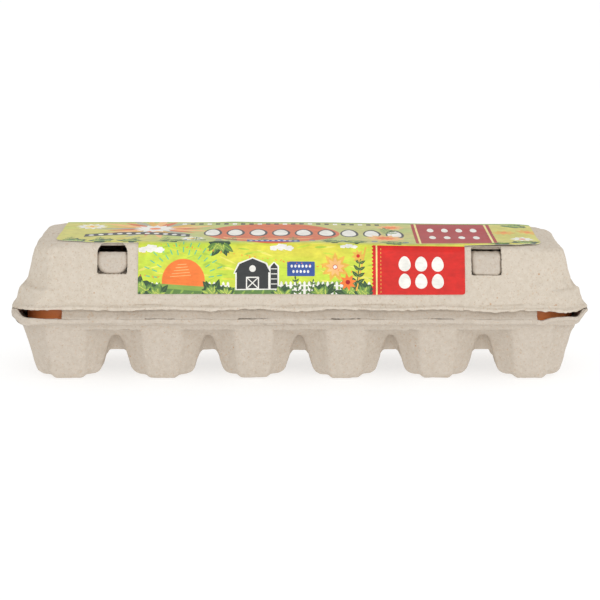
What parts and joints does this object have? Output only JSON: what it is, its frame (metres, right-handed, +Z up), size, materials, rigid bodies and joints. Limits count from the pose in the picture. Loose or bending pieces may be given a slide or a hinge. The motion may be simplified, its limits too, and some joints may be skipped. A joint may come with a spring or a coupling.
{
  "type": "egg carton with eggs",
  "caption": "Moulded-pulp egg carton with brown eggs in its cups, a hinged lid, a paper label, and a locking flap whose tongues catch in windows in the lid's front.",
  "frame": {"origin": "middle of the footprint, on the surface that the carton stands on", "axes": "+X along the carton's length to the right seen from the front, -Y out of the front with the label's flap, +Z up"},
  "size_m": [0.3014, 0.104, 0.0726],
  "materials": {
    "tray_pulp": "rough moulded pulp, warm grey-beige with brown and dark specks",
    "lid_pulp": "rough moulded pulp, warm grey-beige with brown and dark specks",
    "label_paper": "glossy printed paper, mostly lime green with a red block",
    "eggshell": "smooth brown eggshell with a faint sheen"
  },
  "bodies": {
    "tray_with_eggs": {"tray": "tray_pulp", "egg_front_1": "eggshell", "egg_front_2": "eggshell", "egg_front_3": "eggshell", "egg_front_4": "eggshell", "egg_front_5": "eggshell", "egg_front_6": "eggshell", "egg_back_1": "eggshell", "egg_back_2": "eggshell", "egg_back_3": "eggshell", "egg_back_4": "eggshell", "egg_back_5": "eggshell", "egg_back_6": "eggshell"},
    "lid": {"lid": "lid_pulp", "label": "label_paper"}
  },
  "joints": [
    {"name": "lid_hinge", "type": "hinge", "parent": "tray_with_eggs", "child": "lid", "pos_m": [0, 0.0523, 0.03835], "axis": [-1, 0, 0], "range_deg": [0, 175]}
  ]
}
